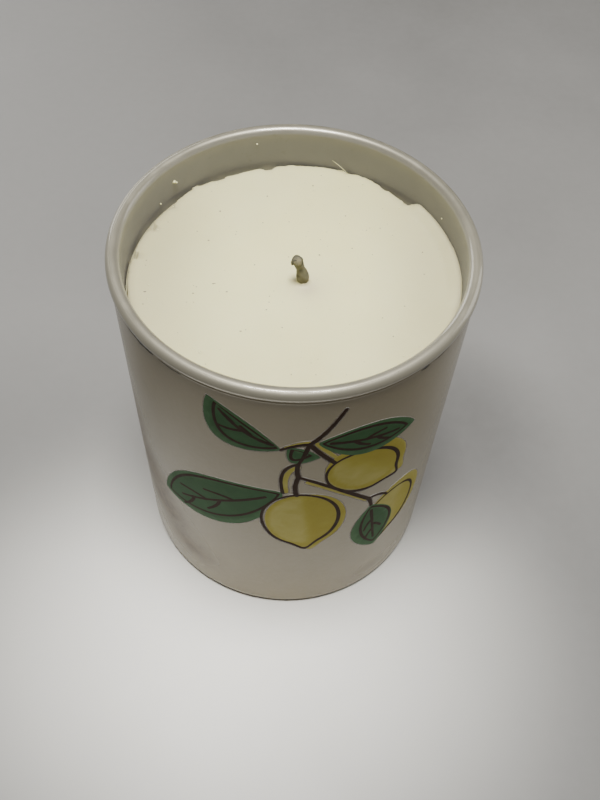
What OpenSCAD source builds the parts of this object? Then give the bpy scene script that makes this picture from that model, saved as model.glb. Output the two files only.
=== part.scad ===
// Container candle: a straight-sided opal glass tumbler, lacquered outside, decorated with a printed
// lemon sprig and filled with wax. Millimetres, +Z up, origin at the centre of the foot.

/* [Tumbler] */
// Outer radius of the rounded rim over the lacquer, the widest part of the candle
rim_r = 40; // [40:0.1:40.4]
// Overall height, foot to top of rim
height = 100; // [92:1:120]
// Outer radius of the glass wall below the rim
glass_r = 39.4; // [38.8:0.1:39.5]
// Thickness of the glass wall
wall = 2.4; // [2:0.1:3]
// Thickness of the glass under the wax
floor_t = 7; // [5:0.5:12]
// Inside corner radius between wall and floor
corner_r = 6; // [3:0.5:10]
// Outside radius where the wall turns under to the foot
heel_r = 2.2; // [1.5:0.1:4]
// Radius of the hollow under the base
punt_r = 31; // [28:0.5:33]
// Depth of the hollow under the base
punt_depth = 1.2; // [0.8:0.1:2]

/* [Lacquer] */
// Thickness of the lacquer coat
coat_t = 0.1; // [0.08:0.01:0.2]
// How far the coat reaches round the rim's rounded edge, in degrees above level
coat_reach = 68; // [30:1:75]
// Height of the coat's lower edge above the table
coat_lift = 0.35; // [0.2:0.05:1]

/* [Wax] */
// Depth of the wax surface below the top of the rim
wax_drop = 9.8; // [6:0.2:20]

/* [Wick] */
// Radius of the braided wick
wick_r = 1.2; // [0.8:0.1:1.6]
// How far the wick sits right of the centre
wick_x = 2; // [-4:0.5:4]
// How far the wick sits behind the centre
wick_y = -1.7; // [-4:0.1:4]
// Length of wick that stands straight out of the wax before it bends
wick_stand = 1.6; // [1:0.2:3]
// Lean of the bent tip from upright, in degrees
wick_lean = 28; // [10:1:30]
// Radius of the burnt knob at the end of the wick
knob_r = 1.35; // [1.25:0.05:1.7]
// Radius of the metal tab that holds the wick
tab_r = 10; // [8:0.5:12]
// Thickness of the metal tab
tab_t = 0.4; // [0.3:0.1:0.6]
// Height of the crimped neck on the tab
neck_h = 5; // [3:0.5:9]
// Radius of the adhesive pad under the tab
pad_r = 9; // [6:0.5:9.5]
// Thickness of the adhesive pad
pad_t = 0.8; // [0.5:0.1:1.5]

/* [Print] */
// Thickness of the clear film that carries the print
film_t = 0.1; // [0.08:0.02:0.15]
// Thickness of each layer of ink
ink_t = 0.1; // [0.08:0.02:0.15]
// How far the film reaches past the inked shapes
film_margin = 0.3; // [0.2:0.05:0.5]
// Width of the drawn outlines
outline_w = 0.85; // [0.5:0.05:1]
// Width of the drawn stems at their widest
stem_w = 1.1; // [0.8:0.05:1.2]
// Width of the drawn leaf veins at the midrib
vein_w = 0.85; // [0.5:0.05:0.9]

/* [Base label] */
// Radius of the blank paper label under the base
label_r = 26; // [20:0.5:27]
// Thickness of the label
label_t = 0.15; // [0.1:0.05:0.3]

/* [Hidden] */
$fn = 96;

inner_r = glass_r - wall;
coat_r = glass_r + coat_t;
// The rim's rounded edge runs from the inside of the wall to the lacquer at the rim's outside
bead_r = (rim_r - coat_t - inner_r) / 2;
bead_x = inner_r + bead_r;
bead_z = height - bead_r;
// Height at which the lacquer on the rim meets the lacquer on the wall
bead_foot = bead_z - sqrt(pow(bead_r + coat_t, 2) - pow(coat_r - bead_x, 2));
wax_top = height - wax_drop;
tab_z = floor_t + pad_t;
neck_wall = 0.35;
// Radius of the bend in the wick, at its middle
bend_r = 8;
// How far the knob's centre lies beyond the end of the bend
knob_reach = 0.9;
// How far a cut runs past the face it opens
through = 1;

// Points along each side of a leaf, and round a lemon
leaf_steps = 12;
lemon_steps = 36;
stroke_steps = 6;

// Leaves: base, tip, belly left of the midrib, belly right of it (seen from base to tip)
leaf_upper_left = [[-0.4, 80.3], [-15.6, 94.2], 9.2, 1.5];
leaf_right = [[7.2, 82.5], [30.4, 77.6], 5.6, 5.6];
leaf_lower_left = [[0.3, 62.4], [-32.5, 40], 9.2, 9.8];
leaf_middle = [[1, 81.2], [7.8, 77], 1.2, 4.4];
leaf_lower_right = [[22.4, 47.8], [26, 23.2], 6.2, 6.2];

// Lemons: centre, half-width, half-length, turn in degrees from nib downwards
lemon_front = [[4.6, 49.2], 9.1, 12.2, 6];
lemon_upper = [[19, 66], 7.4, 11.8, 50];
lemon_behind = [[29.6, 40], 8.6, 12, -8];
nib = 2.2;
nib_spread = 16;
// How far the colour prints off its outline, and how much bigger it is
colour_shift = [1.3, -0.4];
colour_grow = 0.5;
// The narrowest that a leaf's belly may be drawn
least_belly = 0.2;
// The drawn outline of a leaf lies this far inside its colour
outline_inset = 1.6;

// Junctions of the stems
twig_end = [12.2, 93.5];
fork_top = [5.4, 82.4];
fork_mid = [3.3, 74.6];
fork_low = [3.6, 69.2];
fork_right = [21.2, 52];

// Stems: start, point headed for, end, and the width at each end as a share of stem_w
stems_drawn = [
    [fork_top, [8.5, 85], twig_end, 1, 0.7],
    [fork_top, [2.5, 82.6], leaf_upper_left[0], 1, 0.7],
    [fork_top, [8, 78], [11.2, 73.9], 1, 1],
    [fork_top, [4.6, 78], fork_mid, 1, 0.7],
    [fork_mid, [-1.5, 73.5], leaf_lower_left[0], 0.7, 0.7],
    [fork_mid, [2.9, 72], fork_low, 1, 1],
    [fork_low, [2.4, 65.5], [3.4, 61.2], 1, 1],
    [fork_low, [11, 65], fork_right, 0.7, 1],
    [fork_right, [22, 50.5], leaf_lower_right[0], 1, 0.7],
    [fork_right, [24, 53], [26.4, 51], 0.7, 0.7]
];

// The midrib starts and ends at these shares of a leaf's length, and bows at rib_bow_at
rib_start = 0.12;
rib_end = 0.8;
rib_bow_at = 0.45;
// Shares of a leaf's lopsidedness by which its midrib bows and ends off the straight line
rib_bow = 0.35;
rib_drift = 0.1;
// A side vein's bend and end: share of the leaf's length ahead, and of its belly outwards
vein_bend = [0.05, 0.25];
vein_end = [0.17, 0.4];
// Width of a vein at its end as a share of vein_w
vein_taper = 0.6;

// ---- Flat drawing, unrolled: s to the right of the front line, z up from the foot ----

function unit(v) = v / norm(v);
function left_of(v) = [-v[1], v[0]];

// Belly of a leaf at the share t of its length, blunt enough to look full
function belly(t) = pow(sin(180 * t), 0.8);

// Outline of a leaf drawn larger by grow all round, or smaller where grow is negative
function leaf_points(leaf, grow = 0) =
    let (
        dir = unit(leaf[1] - leaf[0]),
        side = left_of(dir),
        base = leaf[0] - dir * grow,
        tip = leaf[1] + dir * grow,
        left = side * max(leaf[2] + grow, least_belly),
        right = side * max(leaf[3] + grow, least_belly),
        shares = [for (i = [1:leaf_steps - 1]) i / leaf_steps]
    )
    concat(
        [base],
        [for (t = shares) base + (tip - base) * t + left * belly(t)],
        [tip],
        [for (t = shares) tip + (base - tip) * t - right * belly(1 - t)]
    );

function turned(p, a) = [p[0] * cos(a) - p[1] * sin(a), p[0] * sin(a) + p[1] * cos(a)];

// Outline of a lemon: an ellipse with a nib at its lower end
function lemon_points(lemon, grow = 0) = [
    for (i = [0:lemon_steps - 1])
        let (
            a = 360 * i / lemon_steps,
            bump = nib * exp(-pow((a - 270) / nib_spread, 2)),
            p = [(lemon[1] + grow) * cos(a), (lemon[2] + grow) * sin(a) - bump]
        )
        lemon[0] + turned(p, lemon[3])
];

function moved(points, by) = [for (p = points) p + by];

// A curve from a to c that heads for b on the way
function curve(a, b, c) = [
    for (i = [0:stroke_steps])
        let (t = i / stroke_steps)
        a * pow(1 - t, 2) + b * 2 * t * (1 - t) + c * pow(t, 2)
];

// Outline of a brush stroke along a path, wide at its start and tapered to its end
function stroke_points(path, w_start, w_end) =
    let (
        last = len(path) - 1,
        sides = [
            for (i = [0:last])
                left_of(unit(path[min(i + 1, last)] - path[max(i - 1, 0)]))
                    * (w_start + (w_end - w_start) * i / last) / 2
        ]
    )
    concat(
        [for (i = [0:last]) path[i] + sides[i]],
        [for (i = [last:-1:0]) path[i] - sides[i]]
    );

// ---- The drawing laid on the wall ----

// Straight through the wall behind one flat outline, as seen from the front
module stamp(points) {
    rotate([90, 0, 0])
        linear_extrude(height = rim_r)
            polygon([for (p = points) [coat_r * sin(p[0] / coat_r * 180 / PI), p[1]]]);
}

// A thin layer of the wall, between two distances outside the lacquer
module layer(inside, outside) {
    intersection() {
        difference() {
            cylinder(r = coat_r + outside, h = bead_foot);
            translate([0, 0, -through])
                cylinder(r = coat_r + inside, h = bead_foot + 2 * through);
        }
        union() children();
    }
}

module leaves(grow = 0) {
    for (leaf = [leaf_upper_left, leaf_right, leaf_lower_left, leaf_middle, leaf_lower_right])
        stamp(leaf_points(leaf, grow));
}

module lemon_colour(lemon, grow = 0) {
    stamp(moved(lemon_points(lemon, colour_grow + grow), colour_shift));
}

module lemons(grow = 0) {
    for (lemon = [lemon_front, lemon_upper, lemon_behind])
        lemon_colour(lemon, grow);
}

module stroke(path, w_start, w_end) {
    stamp(stroke_points(path, w_start, w_end));
}

module stems(grow = 0) {
    w = stem_w + 2 * grow;
    for (stem = stems_drawn)
        stroke(curve(stem[0], stem[1], stem[2]), stem[3] * w, stem[4] * w);
}

module leaf_outline(leaf) {
    difference() {
        stamp(leaf_points(leaf, outline_w - outline_inset));
        stamp(leaf_points(leaf, -outline_inset));
    }
}

module lemon_outline(lemon) {
    difference() {
        stamp(lemon_points(lemon, outline_w / 2));
        stamp(lemon_points(lemon, -outline_w / 2));
    }
}

module vein(path) {
    stroke(path, vein_w, vein_taper * vein_w);
}

// A midrib with side veins that leave it in turn to the left and right
module veins(leaf, branches) {
    along = leaf[1] - leaf[0];
    side = left_of(unit(along));
    lopsided = side * (leaf[2] - leaf[3]);
    from = leaf[0] + along * rib_start;
    bow = leaf[0] + along * rib_bow_at + lopsided * rib_bow;
    to = leaf[0] + along * rib_end + lopsided * rib_drift;
    rib = curve(from, bow, to);
    vein(rib);
    for (i = [1:branches]) {
        start = rib[i + 1];
        out = side * (i % 2 == 0 ? leaf[2] : -leaf[3]);
        bend = start + along * vein_bend[0] + out * vein_bend[1];
        vein(curve(start, bend, start + along * vein_end[0] + out * vein_end[1]));
    }
}

// ---- Pieces ----

// Half-profile of the outside with its rounded rim, grown by the thickness of a coat
module outside_profile(grow = 0) {
    heel_x = glass_r - heel_r;
    translate([0, heel_r])
        square([glass_r + grow, bead_z - heel_r]);
    translate([0, -grow])
        square([heel_x, heel_r + grow]);
    translate([heel_x, heel_r])
        circle(r = heel_r + grow);
    translate([bead_x, bead_z])
        circle(r = bead_r + grow);
}

// Half-profile of the inside, from the glass floor up to a height
module inside_profile(top) {
    corner_z = floor_t + corner_r;
    translate([0, corner_z])
        square([inner_r, top - corner_z]);
    translate([0, floor_t])
        square([inner_r - corner_r, corner_r]);
    translate([inner_r - corner_r, corner_z])
        circle(r = corner_r);
}

module glass_tumbler() {
    color([0.84, 0.79, 0.67])
        rotate_extrude()
            difference() {
                outside_profile();
                inside_profile(bead_z);
                translate([-through, -through])
                    square([punt_r + through, punt_depth + through]);
            }
}

// What the sprayed coat covers, from just above the foot to partway round the rim's top
module sprayed_side() {
    past = 2 * bead_r;
    outer = rim_r + past;
    edge = [bead_x + past * cos(coat_reach), bead_z + past * sin(coat_reach)];
    above_foot = [[punt_r, coat_lift], [outer, coat_lift]];
    round_rim = [[outer, edge[1]], edge, [bead_x, bead_z], [punt_r, bead_z]];
    polygon(concat(above_foot, round_rim));
}

module lacquer_coat() {
    color([0.86, 0.83, 0.75])
        rotate_extrude()
            difference() {
                intersection() {
                    outside_profile(coat_t);
                    sprayed_side();
                }
                outside_profile();
            }
}

module print_film() {
    color([0.9, 0.88, 0.82, 0.4])
        layer(0, film_t) {
            leaves(film_margin);
            lemons(film_margin);
            stems(film_margin);
            for (lemon = [lemon_front, lemon_upper, lemon_behind])
                stamp(lemon_points(lemon, outline_w / 2 + film_margin));
        }
}

module leaf_ink() {
    color([0.16, 0.34, 0.17])
        layer(film_t, film_t + ink_t)
            difference() {
                leaves();
                lemon_colour(lemon_front);
                stamp(lemon_points(lemon_front, outline_w / 2));
            }
}

module lemon_ink() {
    color([0.85, 0.74, 0.25])
        layer(film_t, film_t + ink_t)
            difference() {
                lemons();
                stamp(leaf_points(leaf_right));
                stamp(leaf_points(leaf_lower_right));
            }
}

module line_ink() {
    color([0.2, 0.11, 0.06])
        difference() {
            layer(film_t, film_t + 2 * ink_t) {
                stems();
                lemon_outline(lemon_front);
                difference() {
                    union() {
                        lemon_outline(lemon_upper);
                        lemon_outline(lemon_behind);
                    }
                    stamp(leaf_points(leaf_right));
                    stamp(leaf_points(leaf_lower_right));
                }
                difference() {
                    for (leaf = [leaf_upper_left, leaf_right, leaf_lower_left, leaf_middle, leaf_lower_right])
                        leaf_outline(leaf);
                    stamp(lemon_points(lemon_front));
                }
                veins(leaf_upper_left, 3);
                veins(leaf_right, 3);
                veins(leaf_lower_left, 4);
                veins(leaf_lower_right, 3);
            }
            leaf_ink();
            lemon_ink();
        }
}

module at_wick() {
    translate([wick_x, wick_y, 0])
        children();
}

// The straight part of the wick, from the underside of its tab
module wick_stem() {
    translate([0, 0, tab_z])
        cylinder(r = wick_r, h = wax_top + wick_stand - tab_z);
}

module tab_outside() {
    translate([0, 0, tab_z]) {
        cylinder(r = tab_r, h = tab_t);
        cylinder(r = wick_r + neck_wall, h = tab_t + neck_h);
    }
}

module pad() {
    translate([0, 0, floor_t])
        cylinder(r = pad_r, h = pad_t);
}

module wax_fill() {
    color([0.95, 0.93, 0.85])
        difference() {
            rotate_extrude()
                inside_profile(wax_top);
            at_wick() {
                wick_stem();
                tab_outside();
                pad();
            }
        }
}

module wick() {
    color([0.55, 0.52, 0.4])
        at_wick() {
            wick_stem();
            translate([-bend_r, 0, wax_top + wick_stand]) {
                rotate([90, 0, 0])
                    rotate_extrude(angle = wick_lean)
                        translate([bend_r, 0])
                            circle(r = wick_r);
                rotate([0, -wick_lean, 0])
                    translate([bend_r, 0, knob_reach])
                        sphere(r = knob_r);
            }
        }
}

module wick_tab() {
    color([0.72, 0.73, 0.74])
        at_wick()
            difference() {
                tab_outside();
                wick_stem();
            }
}

module adhesive_pad() {
    color([0.93, 0.91, 0.84])
        at_wick()
            pad();
}

module base_label() {
    color([0.93, 0.92, 0.89])
        translate([0, 0, punt_depth - label_t])
            cylinder(r = label_r, h = label_t);
}

glass_tumbler();
lacquer_coat();
print_film();
leaf_ink();
lemon_ink();
line_ink();
wax_fill();
wick();
wick_tab();
adhesive_pad();
base_label();
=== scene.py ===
import random
from math import acos, asin, atan2, cos, degrees, exp, hypot, pi, radians, sin, sqrt

import bmesh
import bpy
import numpy as np
from mathutils import Matrix, Vector, geometry, noise


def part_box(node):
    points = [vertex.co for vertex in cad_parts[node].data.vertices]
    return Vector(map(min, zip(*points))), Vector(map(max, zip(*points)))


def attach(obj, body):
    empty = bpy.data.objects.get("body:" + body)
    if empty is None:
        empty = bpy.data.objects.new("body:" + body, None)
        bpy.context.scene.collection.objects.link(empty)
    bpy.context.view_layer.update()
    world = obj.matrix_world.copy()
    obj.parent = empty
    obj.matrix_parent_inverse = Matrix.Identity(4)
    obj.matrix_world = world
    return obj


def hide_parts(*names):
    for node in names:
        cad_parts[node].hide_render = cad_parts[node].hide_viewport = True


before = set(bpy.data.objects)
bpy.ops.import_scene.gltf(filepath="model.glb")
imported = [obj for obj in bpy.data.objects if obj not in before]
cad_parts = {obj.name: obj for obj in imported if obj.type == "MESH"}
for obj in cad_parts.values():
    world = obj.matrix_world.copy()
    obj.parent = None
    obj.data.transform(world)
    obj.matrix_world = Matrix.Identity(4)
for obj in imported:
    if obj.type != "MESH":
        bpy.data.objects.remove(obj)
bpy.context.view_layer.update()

# Shapes are in millimetres until make_piece() turns them to the frame's metres. Azimuth is in
# degrees round the jar: 0 at the front (-Y), positive to the right (+X).
MM = 0.001


def node_box(node):
    """Lowest and highest corner of a CAD node in millimetres."""
    low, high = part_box(node)
    return low / MM, high / MM


# ---- Sizes read from the frame ----
RIM_R = node_box("lacquer_coat")[1].x
COAT_FOOT = node_box("lacquer_coat")[0].z
HEIGHT = node_box("glass_tumbler")[1].z
COAT_T = RIM_R - node_box("glass_tumbler")[1].x
WAX_FLOOR, WAX_TOP = (corner.z for corner in node_box("wax_fill"))
INNER_R = node_box("wax_fill")[1].x
PUNT_DEPTH = node_box("base_label")[1].z
tab_low, tab_high = node_box("wick_tab")
WICK = Vector(((tab_low.x + tab_high.x) / 2, (tab_low.y + tab_high.y) / 2, WAX_TOP))

# ---- Sizes that the frame's boxes don't give, as in the CAD source ----
GLASS_R = 39.4
CORNER_R = 6
HEEL_R = 2.2
PUNT_R = 31
COAT_REACH = 68  # degrees round the bead, from level outwards
COAT_R = GLASS_R + COAT_T
BEAD_R = (RIM_R - COAT_T - INNER_R) / 2
BEAD_X = INNER_R + BEAD_R
BEAD_Z = HEIGHT - BEAD_R
HEEL_X = GLASS_R - HEEL_R
# What is bonded to the glass reaches this far into it, so that no air shows
BOND = 0.05


# ---- Mesh helpers ----


def smooth(x, low, high):
    """0 below low, 1 above high and an even curve between."""
    t = np.clip((x - low) / (high - low), 0, 1)
    return t * t * (3 - 2 * t)


def wave(x, y, z=0.0):
    """Smooth noise from about -1 to 1."""
    return noise.noise(Vector((x, y, z)))


def link(name, data):
    """An object in the scene made from its data."""
    made = bpy.data.objects.new(name, data)
    bpy.context.scene.collection.objects.link(made)
    return made


def make_piece(name, verts, faces, material, slot, replaced=(), sharp=40, **attributes):
    """A mesh that rides on the jar and stands for the replaced CAD nodes."""
    mesh = bpy.data.meshes.new(name)
    mesh.from_pydata([tuple(v) for v in np.asarray(verts) * MM], [], faces)
    for key, values in attributes.items():
        layer = mesh.attributes.new(key, "FLOAT", "POINT")
        layer.data.foreach_set("value", np.asarray(values, np.float32))
    work = bmesh.new()
    work.from_mesh(mesh)
    bmesh.ops.remove_doubles(work, verts=work.verts, dist=0.0005 * MM)
    bmesh.ops.recalc_face_normals(work, faces=work.faces)
    work.to_mesh(mesh)
    work.free()
    mesh.polygons.foreach_set("use_smooth", [True] * len(mesh.polygons))
    mesh.set_sharp_from_angle(angle=radians(sharp))
    mesh.materials.append(material)
    piece = link(name, mesh)
    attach(piece, "root")
    if replaced:
        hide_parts(*replaced)
    return piece


def grid_faces(rows, columns, wrap_rows=False, wrap_columns=True):
    """Quads of a grid of points stored row by row."""
    faces = []
    for i in range(rows if wrap_rows else rows - 1):
        row, after = i * columns, (i + 1) % rows * columns
        for j in range(columns if wrap_columns else columns - 1):
            k = (j + 1) % columns
            faces.append((row + j, row + k, after + k, after + j))
    return faces


def tube_faces(rows, columns):
    """Faces of a closed tube of points stored ring by ring."""
    last = (rows - 1) * columns
    caps = [tuple(range(columns - 1, -1, -1)), tuple(range(last, last + columns))]
    return grid_faces(rows, columns) + caps


def arc(x, z, r, start, end, steps):
    """Points (x, z) along a circle, with angles in degrees anticlockwise from +x."""
    angles = np.radians(np.linspace(start, end, steps + 1))
    return [(x + r * cos(a), z + r * sin(a)) for a in angles]


def line(start, end, steps):
    """Points from start to end, without the end."""
    return [tuple(np.array(start) + (np.array(end) - start) * i / steps) for i in range(steps)]


def around(radius, height, azimuth):
    """Points of the jar's frame from radii, heights and azimuths in radians."""
    return np.stack([radius * np.sin(azimuth), -radius * np.cos(azimuth), height], axis=-1)


# ---- Shader nodes ----


class Nodes:
    """The nodes of a material or of the room."""

    def __init__(self, owner):
        self.owner = owner
        owner.use_nodes = True
        self.tree = owner.node_tree
        self.tree.nodes.clear()

    def add(self, kind, inputs, output=0, **settings):
        """An output of a new node, with its inputs filled or linked."""
        made = self.tree.nodes.new("ShaderNode" + kind)
        for key, value in settings.items():
            setattr(made, key, value)
        for key, value in inputs.items():
            if isinstance(value, bpy.types.NodeSocket):
                self.tree.links.new(value, made.inputs[key])
            else:
                made.inputs[key].default_value = value
        return made.outputs[output] if made.outputs else None

    def place(self):
        return self.add("TexCoord", {}, "Object")

    def scaled(self, scale):
        """The place, with each axis multiplied."""
        return self.add("Mapping", {"Vector": self.place(), "Scale": scale})

    def speckle(self, scale, detail=4.0, roughness=0.55, distortion=0.0, stretch=None):
        """Noise from 0 to 1 with features of about 1 / scale metres."""
        where = self.scaled(stretch) if stretch else self.place()
        inputs = {"Vector": where, "Scale": scale, "Detail": detail}
        return self.add("TexNoise", {**inputs, "Roughness": roughness, "Distortion": distortion})

    def spread(self, value, low, high, to_low=0.0, to_high=1.0, ease="LINEAR"):
        """A value moved from low..high into to_low..to_high, and kept inside it."""
        inputs = {0: value, 1: low, 2: high, 3: to_low, 4: to_high}
        return self.add("MapRange", inputs, interpolation_type=ease)

    def band(self, low, high, scale, **noise_settings):
        """Noise spread so that low becomes 0 and high 1."""
        return self.spread(self.speckle(scale, **noise_settings), low, high)

    def maths(self, operation, a, b):
        return self.add("Math", {0: a, 1: b}, operation=operation)

    def away(self, where, centre):
        """Distance from a point."""
        return self.add("VectorMath", {0: where, 1: centre}, "Value", operation="DISTANCE")

    def mix(self, factor, a, b):
        """The colour a turned towards b by factor."""
        inputs = {0: factor, 6: a, 7: b}
        inputs = {key: (*v, 1.0) if isinstance(v, tuple) else v for key, v in inputs.items()}
        return self.add("Mix", inputs, 2, data_type="RGBA")

    def tint(self, mask, share, colour, towards):
        """A colour turned towards another by a share of the mask."""
        return self.mix(self.maths("MULTIPLY", mask, share), colour, towards)

    def attribute(self, name):
        return self.add("Attribute", {}, "Fac", attribute_name=name)

    def bumps(self, height, distance, strength, normal=None):
        """A bump of that depth in metres."""
        inputs = {"Height": height, "Distance": distance, "Strength": strength}
        return self.add("Bump", {**inputs, "Normal": normal} if normal else inputs)

    def shade(self, colour, roughness, normal=None, others=()):
        """The material, once a principled shader is on its output."""
        inputs = {"Base Color": colour, "Roughness": roughness, **dict(others)}
        if normal:
            inputs["Normal"] = normal
        self.add("OutputMaterial", {"Surface": self.add("BsdfPrincipled", inputs)})
        return self.owner


def new_material(name):
    return Nodes(bpy.data.materials.new(name))


def below(weight, depth):
    """Light that goes under a surface, furthest in red and least in blue."""
    radius = (1.0, 0.85, 0.6)
    return {"Subsurface Weight": weight, "Subsurface Radius": radius, "Subsurface Scale": depth}


# ---- Materials ----

# Pearl mist on the rim, on glass and coat alike; paler than the wall and body below it, partly the
# finish and partly painted light on the bead's lit top
RIM_PEARL_AND_LIGHT = (0.315, 0.295, 0.232)
RIM_METALLIC = 0.6


def opal_glass():
    """Cream opal glass with clouds, smears and soot, pearly on the rim and clean under the foot,
    with light painted on the rim that fades into painted shade down the inner wall.
    """
    m = new_material("opal_glass")
    cloud = m.band(0.3, 0.7, 55)
    smear = m.speckle(110, detail=5, distortion=0.6)
    ripple = m.speckle(35, detail=2)
    soot = m.band(0.6, 0.74, 420, detail=6, roughness=0.7)
    gloss = m.spread(smear, 0.4, 0.75, 0.5, 0.7)
    rim = m.attribute("rim")
    colour = m.mix(cloud, (0.226, 0.222, 0.232), (0.252, 0.247, 0.254))
    colour = m.tint(soot, 0.25, colour, (0.13, 0.12, 0.1))
    # Painted light on the rim, fading into painted shade down the inner wall
    colour = m.mix(rim, colour, RIM_PEARL_AND_LIGHT)
    colour = m.mix(m.attribute("foot"), colour, (0.36, 0.33, 0.26))
    gloss = m.maths("SUBTRACT", gloss, m.maths("MULTIPLY", rim, 0.12))
    return m.shade(colour, gloss, m.bumps(ripple, 0.00012, 0.35), {
        "Metallic": m.maths("MULTIPLY", rim, RIM_METALLIC), "Specular IOR Level": 0.2,
        "Coat Weight": rim, "Coat Roughness": 0.05, **below(0.12, 0.0012),
    })


def cream_lacquer():
    """Cream pearl lacquer, paler towards the top and silvery on the rim with painted light on it:
    faint clouds, orange peel, pinkish grey smudges with darker grains in them, and chips whose
    near-black is painted shade in the fold."""
    m = new_material("cream_lacquer")
    cloud = m.band(0.3, 0.7, 45, detail=3)
    pearl = m.band(0.35, 0.65, 900, detail=2)
    grime = m.band(0.42, 0.66, 260, detail=6, roughness=0.65)
    grain = m.band(0.52, 0.66, 1100, detail=4, roughness=0.7)
    wear = m.attribute("wear")
    rim = m.attribute("rim")
    colour = m.mix(cloud, (0.224, 0.186, 0.108), (0.254, 0.213, 0.124))
    colour = m.tint(pearl, 0.16, colour, (0.29, 0.25, 0.165))
    colour = m.tint(m.attribute("upper"), 0.45, colour, (0.33, 0.28, 0.175))
    colour = m.tint(m.maths("MULTIPLY", wear, grime), 0.85, colour, (0.082, 0.058, 0.047))
    colour = m.tint(m.maths("MULTIPLY", grain, wear), 0.75, colour, (0.045, 0.032, 0.028))
    colour = m.tint(wear, 0.5, colour, (0.15, 0.105, 0.08))
    # The bead takes the rim's pearl colour, partly painted light on its lit top
    colour = m.mix(rim, colour, RIM_PEARL_AND_LIGHT)
    # Chips painted near-black: painted shade in the fold's gaps, over a shallow real recess
    colour = m.mix(m.attribute("chip"), colour, (0.02, 0.016, 0.012))
    gloss = m.spread(cloud, 0, 1, 0.2, 0.27)
    gloss = m.maths("ADD", gloss, m.maths("MULTIPLY", wear, 0.22))
    gloss = m.maths("ADD", gloss, m.maths("MULTIPLY", rim, 0.25))
    peel = m.bumps(m.speckle(420, detail=2), 0.00005, 0.3)
    return m.shade(colour, gloss, m.bumps(grime, 0.00004, 0.4, peel), {
        "Metallic": m.maths("MULTIPLY", rim, RIM_METALLIC), "Specular IOR Level": 0.22,
        "Coat Weight": m.spread(rim, 0, 1, 0.1, 1.0), "Coat Roughness": 0.06,
    })


def clear_film():
    """Clear decal film with a faint tint and gloss, and a painted highlight along its upper edges.
    """
    m = new_material("print_film")
    streak = m.speckle(160)
    colour = m.mix(streak, (0.25, 0.2, 0.16), (0.28, 0.225, 0.18))
    # Painted highlight: near-white on the film's edges that face up to the light
    colour = m.mix(m.attribute("caught"), colour, (1.0, 0.98, 0.92))
    gloss = m.spread(streak, 0.3, 0.7, 0.18, 0.3)
    return m.shade(colour, gloss, m.bumps(streak, 0.00003, 0.4), {
        "Alpha": 0.5, "Specular IOR Level": 0.25, "Coat Weight": 0.1, "Coat Roughness": 0.08,
    })


# Inks: deep, plain and pale colour, scale of the brush streaks, roughness
INKS = {
    "green_ink": ((0.024, 0.074, 0.025), (0.044, 0.122, 0.045), (0.084, 0.185, 0.08), 240, 0.45),
    "yellow_ink": ((0.355, 0.29, 0.026), (0.42, 0.36, 0.052), (0.5, 0.45, 0.13), 200, 0.42),
    "brown_ink": ((0.03, 0.014, 0.008), (0.044, 0.023, 0.014), (0.062, 0.036, 0.024), 500, 0.5),
}


def screen_ink(name):
    """Screen ink: the tone attribute runs from deep to pale, broken by streaks and mottling."""
    deep, plain, pale, streaks, rough = INKS[name]
    m = new_material(name)
    tone = m.attribute("tone")
    streak = m.band(0.35, 0.65, streaks, detail=5, distortion=0.8)
    mottle = m.band(0.3, 0.7, 1400, detail=2)
    colour = m.mix(m.spread(tone, 0, 0.5), deep, plain)
    colour = m.mix(m.spread(tone, 0.5, 1), colour, pale)
    colour = m.tint(streak, 0.35, colour, deep)
    colour = m.tint(mottle, 0.12, colour, pale)
    rough = m.spread(mottle, 0, 1, rough, rough + 0.12)
    return m.shade(colour, rough, m.bumps(streak, 0.00004, 0.35), {"Specular IOR Level": 0.05})


def soy_wax():
    """Mottled, slightly translucent soy wax, stained round the wick, with painted shade that
    darkens it towards its edge and towards its left and right.
    """
    m = new_material("wax")
    frost = m.band(0.3, 0.7, 60, detail=6, roughness=0.6)
    grain = m.speckle(1500, detail=3)
    patch = m.band(0.38, 0.62, 24, detail=3)
    colour = m.mix(frost, (0.83, 0.785, 0.38), (0.88, 0.835, 0.43))
    colour = m.tint(patch, 0.4, colour, (0.8, 0.79, 0.46))
    colour = m.tint(m.attribute("stain"), 0.85, colour, (0.62, 0.56, 0.36))
    # Painted shade: darker towards the wax's edge and its left and right sides
    colour = m.mix(m.attribute("edge"), colour, (0.42, 0.385, 0.23))
    normal = m.bumps(grain, 0.00006, 0.5, m.bumps(frost, 0.00025, 0.4))
    return m.shade(colour, m.spread(frost, 0, 1, 0.42, 0.6), normal, below(0.35, 0.0018))


def soot_and_dust():
    """Soot and dust on the wax."""
    m = new_material("wax_specks")
    dust = m.speckle(700, detail=2)
    colour = m.mix(dust, (0.1, 0.09, 0.06), (0.42, 0.38, 0.26))
    return m.shade(colour, m.spread(dust, 0, 1, 0.6, 0.9))


def waxed_cotton():
    """Cotton under old wax: olive grey, with painted shade darker between the strands, and darker
    at the burnt head.
    """
    m = new_material("cotton_wick")
    fibre = m.speckle(2600, detail=4, stretch=(1, 1, 0.35))
    torn = m.spread(m.speckle(1500, detail=3, stretch=(1, 1, 0.25)), 0.4, 0.6, 0.25, 0.9)
    colour = m.mix(fibre, (0.13, 0.121, 0.078), (0.19, 0.178, 0.118))
    # Painted shade in the grooves between the strands
    colour = m.mix(m.attribute("groove"), colour, (0.085, 0.082, 0.064))
    colour = m.mix(m.attribute("burnt"), colour, (0.05, 0.048, 0.038))
    colour = m.tint(m.attribute("cut"), torn, colour, (0.28, 0.25, 0.15))
    gloss = m.spread(fibre, 0.3, 0.7, 0.5, 0.7)
    others = {"Specular IOR Level": 0.08, **below(0.15, 0.0006)}
    return m.shade(colour, gloss, m.bumps(fibre, 0.00012, 0.6), others)


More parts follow.
